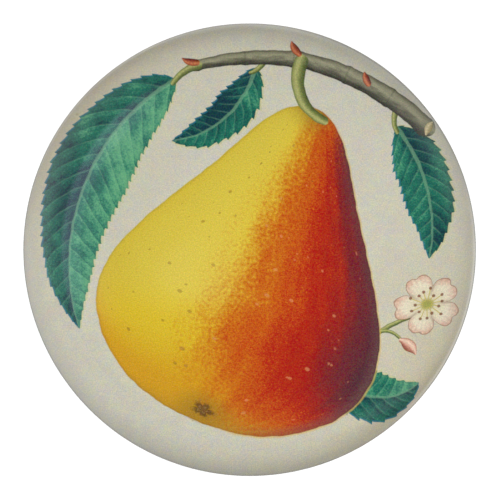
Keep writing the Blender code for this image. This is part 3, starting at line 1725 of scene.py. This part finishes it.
@dataclass
class FeltPad:
    """The felt pad under the sheet.

    Attributes:
        radius: Radius of the pad.
        base: Height of its underside.
        top: Height of its upper face.
        soft_edge: Rounding of its cut edge.
        nap_grain: Breadth of the hollows between the fibres.
        nap_depth: Depth of the hollows.
        turns: Sides of each ring.
        edge_rings: Rings of each rounding.
        face_rings: Rings of each face.
        finish: Its felt.
    """

    radius: float
    base: float
    top: float
    soft_edge: float = 0.4 * MM
    nap_grain: float = 0.9 * MM
    nap_depth: float = 0.14 * MM
    turns: int = 360
    edge_rings: int = 5
    face_rings: int = 12
    finish: PressedFelt = PressedFelt()

    def build(self) -> None:
        """Build and dress the pad."""
        soft = self.soft_edge
        rim = self.radius - soft
        steps = range(1, self.face_rings + 1)
        rings = [(rim * step / self.face_rings, self.base) for step in steps]
        rings += rounding((rim, self.base + soft), soft, soft, -QUARTER, 0.0, self.edge_rings)
        rings += rounding((rim, self.top - soft), soft, soft, 0.0, QUARTER, self.edge_rings)
        rings += [(rim * step / self.face_rings, self.top) for step in reversed(steps)][1:]
        pad = raised_solid("felt_underlay", rings, self.top, self.turns)
        self._nap(pad)
        settle(pad, "felt_pad", self.finish.make())

    def _nap(self, pad: bpy.types.Object) -> None:
        """Let the surface sink a little between the fibres.

        Args:
            pad: The pad, which is the active object.
        """
        clouds = bpy.data.textures.new("felt nap", "CLOUDS")
        clouds.noise_scale = self.nap_grain
        nap = pad.modifiers.new("nap", "DISPLACE")
        nap.texture = clouds
        nap.texture_coords = "LOCAL"
        nap.mid_level = 1.0
        nap.strength = self.nap_depth
        bpy.ops.object.modifier_apply(modifier=nap.name)


# --------------------------------------------------------------------------------------------
# Studio
# --------------------------------------------------------------------------------------------


@dataclass(frozen=True)
class LightPatch:
    """A soft patch of light on the table, which the rim of the glass mirrors.

    Each ramp runs from where the patch is dark to where it is full, in millimetres from the axis.

    Attributes:
        strength: How light it is, from 0 to 1.
        reach: Ramps outwards from the axis.
        east: Ramps to the right.
        north: Ramps towards the top of the picture.
    """

    strength: float
    reach: tuple[Ramp, ...] = ()
    east: tuple[Ramp, ...] = ()
    north: tuple[Ramp, ...] = ()

    def light(self, at: Place, reach: Field) -> Number:
        """Work out its light.

        Args:
            at: The place on the table.
            reach: Distance of the place from the axis.

        Returns:
            The light there.
        """
        light = self.strength
        for side, ramps in ((reach, self.reach), (at.x, self.east), (at.y, self.north)):
            for dark, full in ramps:
                light = side.step(dark, full) * light
        return light


@dataclass
class Studio:
    """A pale table, soft light from above and a camera that looks straight down.

    Attributes:
        girth: Height of the dome's widest ring.
        radius: Its radius.
        camera_height: Height of the camera.
        filled_share: Share of the frame's width that the widest ring fills.
        shift: Shift of the frame, in shares of its width.
        floor_shown: Colour of the table seen straight or through the glass.
        floor_mirrored: Its colour where the glass mirrors it, away from any light.
        floor_by_window: Its colour where the glass mirrors it in full light.
        backdrop: Brightness of what is seen beyond the table.
        overhead: Brightness of the light tent straight above.
        ceiling: Brightness of what the glass mirrors from above.
        window: Brightness of the low window that the glass mirrors on its left.
        bearing: Direction of the window, anticlockwise from the right.
        breadth: How squarely a direction faces the window at its edges and well inside it.
        sill: Where the window begins, upwards: how far a direction rises, from 0 to 1.
        blind: Where its upper part dims.
        lintel: Where it fades out.
        window_tint: Its cooler tint.
        foot: Where the foot of the glass stops shading the table.
        patches: Patches of light on the table, which the glass mirrors.
    """

    girth: float
    radius: float
    camera_height: float = 0.8
    filled_share: float = 0.90428
    shift: tuple[float, float] = (0.0007, -0.00056)
    floor_shown: Colour = (0.95, 0.95, 0.95)
    floor_mirrored: Colour = (0.06, 0.06, 0.06)
    floor_by_window: Colour = (0.62, 0.62, 0.62)
    backdrop: float = 0.95
    overhead: float = 3.35
    ceiling: float = 0.13
    window: float = 1.15
    bearing: float = math.radians(163.0)
    breadth: Ramp = (0.64, 0.9)
    sill: Ramp = (-0.01, 0.06)
    blind: Ramp = (0.31, 0.25)
    lintel: Ramp = (0.7, 0.3)
    window_tint: Colour = (0.88, 0.96, 1.14)
    foot: Ramp = (46.0, 48.8)
    patches: tuple[LightPatch, ...] = (
        # Far off to the right, and then all round the glass.
        LightPatch(0.35, east=((42.0, 60.0), (200.0, 60.0))),
        LightPatch(0.25, reach=((58.0, 45.0),)),
        # By the glass on the right and at the top, where the dome throws light down.
        LightPatch(0.4, reach=((58.0, 45.0),), east=((20.0, 45.0),), north=((28.0, 4.0),)),
        LightPatch(
            0.45, reach=((58.0, 45.0),), east=((25.0, 0.0), (-32.0, -8.0)), north=((20.0, 45.0),)
        ),
        # Thin arcs on the right and at the top right, and a narrow band at the upper left.
        LightPatch(
            0.5, reach=((47.5, 49.5), (52.5, 49.5)), east=((30.0, 45.0),), north=((15.0, -5.0),)
        ),
        LightPatch(
            0.2, reach=((48.5, 51.0), (60.0, 51.0)), east=((-5.0, 10.0),), north=((15.0, 30.0),)
        ),
        LightPatch(0.35, reach=((51.0, 48.5),), east=((-8.0, -22.0),), north=((5.0, 30.0),)),
    )

    def build(self) -> None:
        """Set up the floor, the light and the camera."""
        self._floor()
        self._tent()
        self._camera()

    @staticmethod
    def _paths(tree: bpy.types.NodeTree) -> tuple[Field, Field]:
        """Tell apart the light paths that reach a surface or the sky.

        Args:
            tree: The material's or the world's tree.

        Returns:
            1 for what is seen straight or through clear glass, and 1 for what is seen mirrored.
        """
        node = tree.nodes.new("ShaderNodeLightPath")
        path = {socket.name: Field(socket) for socket in node.outputs}
        unscattered = 1.0 - path["Diffuse Depth"].at_most(1.0)
        bounced = path["Glossy Depth"].at_most(1.0)
        through = path["Is Transmission Ray"]
        seen = path["Is Camera Ray"].at_least(through * (1.0 - bounced)) * unscattered
        mirrored = path["Is Reflection Ray"].at_least(through * bounced) * unscattered
        return seen, mirrored

    def _floor(self) -> None:
        """Lay a wide pale table that stays dark in the glass, as beyond a light tent."""
        deselect_all()
        bpy.ops.mesh.primitive_plane_add(size=4.0, location=(0.0, 0.0, 0.0))
        floor = bpy.context.object
        floor.name = "table"
        surface = Surface("table_white", Roughness=0.9, Specular_IOR_Level=0.1)
        seen, _ = self._paths(surface.tree)
        share = self._mirrored_share(Place.on(surface.tree))
        colour = Tint.plain(surface.tree, self.floor_mirrored).under(self.floor_by_window, share)
        feed_all(surface.shader, Base_Color=colour.under(self.floor_shown, seen))
        floor.data.materials.append(surface.material)

    def _mirrored_share(self, at: Place) -> Field:
        """How light the table looks where the rim of the glass mirrors it.

        Args:
            at: The place on the table.

        Returns:
            A share from 0 to 1.
        """
        reach = at.reach()
        west, north = at.x / reach * -1.0, at.y / reach

        # The window lights the table on the left, and less so towards the top and the bottom.
        share = west.step(0.2, 1.0) * reach.step(38.0, 62.0) * (1.0 - reach.step(80.0, 200.0) * 0.5)
        share = share * (1.0 - north.step(0.0, 0.6) * 0.55 - north.step(-0.1, -0.6) * 0.25)
        for patch in self.patches:
            share = share + patch.light(at, reach)

        return share * (reach.step(*self.foot) * 0.85 + 0.15)

    def _tent(self) -> None:
        """Light that grows towards the zenith, a dim ceiling and a low window on the left."""
        world = bpy.data.worlds.new("studio")
        bpy.context.scene.world = world
        world.use_nodes = True
        tree = world.node_tree
        east, north, height = read_axes(tree, "Generated")
        up = height.held()
        lit = up * up * self.overhead
        level = (1.0 - height * height).root().at_least(0.001)
        squarely = (east * math.cos(self.bearing) + north * math.sin(self.bearing)) / level
        sill = height.step(*self.sill) * 0.75 + 0.25
        blind = (height.step(*self.blind) * 0.45 + 0.55) * height.step(*self.lintel)
        glow = squarely.step(*self.breadth) * sill * blind
        mirror = glow * self.window + (1.0 - height.step(0.1, 0.8) * 0.7) * self.ceiling
        seen, mirrored = self._paths(tree)
        tint = Tint.plain(tree, WHITE).under(self.window_tint, glow * mirrored)
        shown = lit * (1.0 - seen) * (1.0 - mirrored) + seen * self.backdrop + mirrored * mirror
        feed_all(tree.nodes["Background"], Color=tint, Strength=shown)

    def _camera(self) -> None:
        """Hang a camera straight above the dome, framed on its widest ring."""
        lens = bpy.data.cameras.new("camera")
        camera = bpy.data.objects.new("camera", lens)
        bpy.context.scene.collection.objects.link(camera)
        bpy.context.scene.camera = camera
        camera.location = (0.0, 0.0, self.camera_height)
        half_frame = self.radius / self.filled_share
        lens.lens_unit = "MILLIMETERS"
        lens.sensor_width = 36.0
        lens.lens = lens.sensor_width / 2.0 * (self.camera_height - self.girth) / half_frame
        lens.shift_x, lens.shift_y = self.shift
        lens.clip_start = 0.01
        lens.clip_end = 20.0
        bpy.context.scene.view_settings.view_transform = "Standard"


def main() -> None:
    """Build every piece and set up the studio."""
    logging.basicConfig(level=logging.INFO, format="%(name)s: %(message)s")
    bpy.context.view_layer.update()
    glass_low, glass_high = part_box("glass_dome")
    sheet_low, sheet_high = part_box("printed_sheet")
    felt_low, felt_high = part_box("felt_pad")

    into_sheet = 0.05 * MM
    dome = DomeGlass(glass_high.x, glass_low.z, glass_high.z, sheet_high.z - into_sheet)
    dome.build()
    PrintedSheet(sheet_high.x, sheet_low.z, sheet_high.z).build()
    FeltPad(felt_high.x, felt_low.z, felt_high.z).build()
    Studio(dome.base + dome.girth_height, dome.radius).build()


if __name__ == "__main__":
    main()
